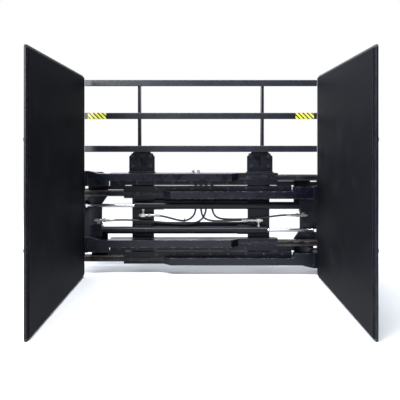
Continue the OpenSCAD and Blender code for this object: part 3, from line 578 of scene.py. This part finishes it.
class CLAMP_OT_camera(bpy.types.Operator):
    """Stands the camera level in front of the pads' opening"""

    bl_idname = "clamp.camera"
    bl_label = "Camera"

    def execute(self, context):
        lens = bpy.data.cameras.new("Camera")
        lens.lens = context.scene.clamp_stage.lens
        lens.sensor_width = SENSOR
        lens.shift_x, lens.shift_y = CAMERA_SHIFT
        lens.clip_end = 60.0
        camera = bpy.data.objects.new("Camera", lens)
        camera.location = CAMERA_SPOT
        camera.rotation_euler = (math.radians(90), 0, 0)
        context.scene.collection.objects.link(camera)
        context.scene.camera = camera
        return {"FINISHED"}


class CLAMP_OT_hoses(bpy.types.Operator):
    """Lays the four hoses between the valve block and the cylinders' ports"""

    bl_idname = "clamp.hoses"
    bl_label = "Hoses"

    def execute(self, context):
        for name, route in HOSE_ROUTES.items():
            points = catmull([in_row(p) for p in route], 2)
            line = bpy.data.curves.new(name + "_line", "CURVE")
            line.dimensions = "3D"
            line.bevel_depth, line.bevel_resolution = HOSE_DIAMETER / 2, 4
            line.use_fill_caps = True
            line.resolution_u = 4
            spline = line.splines.new("BEZIER")
            spline.bezier_points.add(len(points) - 1)
            for i, knot in enumerate(spline.bezier_points):
                before, after = points[max(i - 1, 0)], points[min(i + 1, len(points) - 1)]
                knot.handle_left_type = knot.handle_right_type = "FREE"
                knot.co = points[i]
                knot.handle_left = points[i] - (after - before) / 6
                knot.handle_right = points[i] + (after - before) / 6
            piece = add_piece(name + "_tube", line, "frame", "hose", stands_for=(name,))
            ends = self.ferrules(name, points)
        return {"FINISHED"}

    def ferrules(self, name, points):
        """The crimped sleeve and collar on both ends of a hose."""
        shape = bmesh.new()
        for end, inward in ((points[0], points[1] - points[0]), (points[-1], points[-2] - points[-1])):
            inward = inward.normalized()
            r = HOSE_DIAMETER / 2
            rings = [(0.001, r + 0.0012), (0.0035, r + 0.0024)]
            for k in range(4):
                rings += [(0.0055 + 0.006 * k, r + 0.0024), (0.0070 + 0.006 * k, r + 0.0015),
                          (0.0095 + 0.006 * k, r + 0.0015)]
            rings += [(0.0300, r + 0.0024), (0.0320, r + 0.0016), (0.0325, r * 0.9)]
            turned(rings, end, inward, shape, sides=20)
        return add_piece(name + "_ferrules", to_mesh(shape, name + "_ferrules"), "frame", "zinc")


class CLAMP_OT_steelwork(bpy.types.Operator):
    """Rounds the edges of the plate, bar and turned parts as they are made"""

    bl_idname = "clamp.steelwork"
    bl_label = "Steelwork"

    def execute(self, context):
        edges = context.scene.clamp_edges
        for nodes, radius, segments in ((FLAME_CUT, edges.plate, 2), (ROLLED, edges.bar, 3),
                                        (TURNED, edges.turned, 1)):
            for node in nodes:
                rounded(node, radius, segments, finish="black_bolt" if node in BLACK_BOLTS else None)
        return {"FINISHED"}


# Weld beads: sizes and places in metres, mirrored by side
LEG = 0.004
POST_XS = (0.3865, 0.4015)
CROSS_BAR_ZS = (0.256, 0.306, 0.420, 0.470)
UPRIGHT_INNER_X = 0.3005
LUG_XS = (0.300, 0.456)
LUG_YS = (0.5495, 0.5695)
LUG_FOOT = 0.6275
BAR_END_X = 0.7005
BEAM_X = 0.775
BEAM_HEIGHT = 0.080
EAR_YS = (0.446, 0.566)
SPINE_X = 0.7295
SPINE_YS = (-0.1675, -0.0335)
STITCHES, STITCH_FOOT, STITCH_PITCH, STITCH_LENGTH = 7, 0.09, 0.118, 0.05


def body_name(stem, side):
    """A node's name on the left (side -1) or on the right."""
    return stem + ("_left" if side < 0 else "_right")


class CLAMP_OT_welds(bpy.types.Operator):
    """Runs weld beads along plates and bars"""

    bl_idname = "clamp.welds"
    bl_label = "Weld beads"

    def execute(self, context):
        runs = {body: bmesh.new() for body in ("frame", "left_arm", "right_arm", "left_pad", "right_pad")}
        for side, name in ((-1, "left"), (1, "right")):
            self.frame_runs(runs["frame"], side)
            self.arm_runs(runs[name + "_arm"], side)
            # The spine on the pad's steel plate, in stitched runs 3 mm in from the spine's edges
            for y in SPINE_YS:
                for k in range(STITCHES):
                    z = STITCH_FOOT + STITCH_PITCH * k
                    weld(runs[name + "_pad"], (side * SPINE_X, y, z), (side * SPINE_X, y, z + STITCH_LENGTH), LEG)
        for body, shape in runs.items():
            add_piece("welds_" + body, to_mesh(shape, "welds_" + body, 60.0), body, "frame_paint", "weld")
        return {"FINISHED"}

    def frame_runs(self, shape, side):
        """The beads of one side of the frame."""
        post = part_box(body_name("backrest_post", side))
        # Rails to posts, above and below each rail, behind the rail
        for rail in ("lower", "middle", "upper"):
            low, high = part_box("backrest_rail_" + rail)
            for z in (low[2], high[2]):
                if z < post[1][2] - 0.002:
                    weld(shape, (side * POST_XS[0], high[1], z), (side * POST_XS[1], high[1], z), LEG)
        # Uprights to the channels' backs, down both edges
        low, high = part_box(body_name("upright", side))
        for x in (low[0], high[0]):
            for row in (1, 2, 3, 4):
                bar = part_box("channel_%d" % row)
                weld(shape, (x, bar[1][1], bar[0][2] + 0.006), (x, bar[1][1], bar[1][2] - 0.006), LEG)
        # Cross bars to the uprights
        for z in CROSS_BAR_ZS:
            weld(shape, (side * UPRIGHT_INNER_X, high[1], z), (side * (UPRIGHT_INNER_X + 0.038), high[1], z), LEG)
        # The lower edges of the backrest lugs
        for x in LUG_XS:
            weld(shape, (side * x, LUG_YS[0], LUG_FOOT), (side * x, LUG_YS[1], LUG_FOOT), LEG)

    def arm_runs(self, shape, side):
        """The beads of one arm."""
        # Front bars to the base plate, down their ends
        for level in ("upper", "lower"):
            low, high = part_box(body_name("slide_bar", side) + "_" + level)
            place = (side * BAR_END_X, low[1] - 0.0005)
            weld(shape, place + (low[2] + 0.003,), place + (high[2] - 0.003,), LEG)
        # Forward beams to the base plate's ears, outside the pad
        low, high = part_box(body_name("forward_arm", side))
        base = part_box(body_name("arm_base", side))
        for z in (low[2], low[2] + BEAM_HEIGHT, high[2] - BEAM_HEIGHT, high[2]):
            if base[0][2] < z < base[1][2]:
                weld(shape, (side * BEAM_X, EAR_YS[0], z), (side * BEAM_X, EAR_YS[1], z), LEG)


class CLAMP_OT_pads(bpy.types.Operator):
    """Rounds the rims of the two rubber faces"""

    bl_idname = "clamp.pads"
    bl_label = "Pad faces"

    def execute(self, context):
        for side in ("left", "right"):
            rounded("pad_rubber_" + side, RUBBER_EDGE, 3)
        return {"FINISHED"}


class CLAMP_OT_hazard(bpy.types.Operator):
    """Breaks the edges of the striped plates on the backrest's middle rail"""

    bl_idname = "clamp.hazard"
    bl_label = "Hazard plates"

    def execute(self, context):
        rounded("hazard_plates", HAZARD_EDGE, 1)
        return {"FINISHED"}


class CLAMP_OT_stage(bpy.types.Operator):
    """Lays a pale floor under the clamp and hangs soft lamps"""

    bl_idname = "clamp.stage"
    bl_label = "Stage"

    def execute(self, context):
        values = context.scene.clamp_stage
        low = cad_box[0]
        shape = bmesh.new()
        bmesh.ops.create_grid(shape, x_segments=1, y_segments=1, size=FLOOR_HALF,
                              matrix=Matrix.Translation((0, 0.3, low[2] - FLOOR_DROP)))
        floor = bpy.data.objects.new("Floor", to_mesh(shape, "Floor"))
        context.scene.collection.objects.link(floor)
        material, tree, shader, place = start_material("Matt white floor paint")
        cloud = noise(tree, place, 3.0, 3.0)
        tree.links.new(blend(tree, cloud, from_hex("e6e6e7"), from_hex("ececed")), shader.inputs["Base Color"])
        shader.inputs["Roughness"].default_value = 0.9
        floor.data.materials.append(material)

        self.light_world(context.scene, values)
        for name, spot, aim, size, power, tint in (
                ("Left lamp", (-2.3, -3.3, 1.7), (0.7, -0.1, 0.6), (1.6, 1.6), values.side, (0.95, 0.97, 1.0)),
                ("Strip lamp", (0.0, -1.0, 3.6), (0.0, 0.5, 0.4), (3.2, 0.35), values.strip, (0.93, 0.96, 1.0)),
                ("Front lamp", (0.4, -4.4, 3.4), (0.0, 0.4, 0.6), (3.0, 1.2), values.front, (0.92, 0.95, 1.0))):
            light = bpy.data.lights.new(name, "AREA")
            light.shape, light.size, light.size_y = "RECTANGLE", *size
            light.energy, light.color = power, tint
            lamp = bpy.data.objects.new(name, light)
            lamp.location = spot
            lamp.rotation_euler = (Vector(aim) - Vector(spot)).to_track_quat("-Z", "Y").to_euler()
            context.scene.collection.objects.link(lamp)
        context.scene.view_settings.view_transform = "Standard"
        return {"FINISHED"}

    def light_world(self, scene, values):
        """White where the eye looks past the clamp, a dim cool room where the steel mirrors it."""
        world = bpy.data.worlds.new("White studio")
        world.use_nodes = True
        tree = world.node_tree
        seen = tree.nodes["Background"]
        seen.inputs["Color"].default_value, seen.inputs["Strength"].default_value = (1, 1, 1, 1), 1.0
        way = put(tree, "SeparateXYZ", None, {0: put(tree, "TexCoord").outputs["Generated"]}).outputs
        height = put(tree, "ValToRGB", None, {0: way["Z"]},
                     [(0.0, values.floor_line), (0.05, values.sky * 0.36), (0.115, values.sky),
                      (0.22, values.sky * 0.9), (0.4, values.sky * 0.6)]).outputs[0]
        # The room is brighter on the left than on the right
        side = put(tree, "MapRange", {"From Min": -0.5, "From Max": 0.5, "To Min": 1.5, "To Max": 0.12},
                   {"Value": way["X"]}).outputs[0]
        sky = put(tree, "VectorMath", {"operation": "MULTIPLY", 1: (0.88, 0.92, 1.0)}, {0: height}).outputs[0]
        room = put(tree, "Background", None, {"Color": sky, "Strength": side})
        path = put(tree, "LightPath")
        mixed = put(tree, "MixShader", None, {0: path.outputs["Is Camera Ray"], 1: room.outputs[0],
                                              2: seen.outputs[0]})
        tree.links.new(mixed.outputs[0], tree.nodes["World Output"].inputs["Surface"])
        scene.world = world


class CLAMP_PT_panel(bpy.types.Panel):
    """Sizes, colours and the steps that make the clamp"""

    bl_idname = "CLAMP_PT_panel"
    bl_label = "Carton clamp"
    bl_space_type = "VIEW_3D"
    bl_region_type = "UI"
    bl_category = "Clamp"

    def draw(self, context):
        layout = self.layout
        for group in GROUPS:
            box = layout.box()
            box.label(text=group.bl_rna.description)
            values = getattr(context.scene, GROUPS[group])
            for name in group.__annotations__:
                box.prop(values, name)
        for step in STEPS:
            layout.operator(step.bl_idname)


GROUPS = {ClampFinish: "clamp_finish", ClampEdges: "clamp_edges", ClampStage: "clamp_stage"}
STEPS = [CLAMP_OT_finishes, CLAMP_OT_camera, CLAMP_OT_hoses, CLAMP_OT_steelwork, CLAMP_OT_welds, CLAMP_OT_pads,
         CLAMP_OT_hazard, CLAMP_OT_stage]


def register():
    for group, name in GROUPS.items():
        bpy.utils.register_class(group)
        setattr(bpy.types.Scene, name, PointerProperty(type=group))
    for step in STEPS + [CLAMP_PT_panel]:
        bpy.utils.register_class(step)


def unregister():
    for step in reversed(STEPS + [CLAMP_PT_panel]):
        bpy.utils.unregister_class(step)
    for group, name in GROUPS.items():
        delattr(bpy.types.Scene, name)
        bpy.utils.unregister_class(group)


def main():
    register()
    for step in STEPS:
        family, name = step.bl_idname.split(".")
        getattr(getattr(bpy.ops, family), name)()
    bpy.context.view_layer.update()


if __name__ == "__main__":
    main()
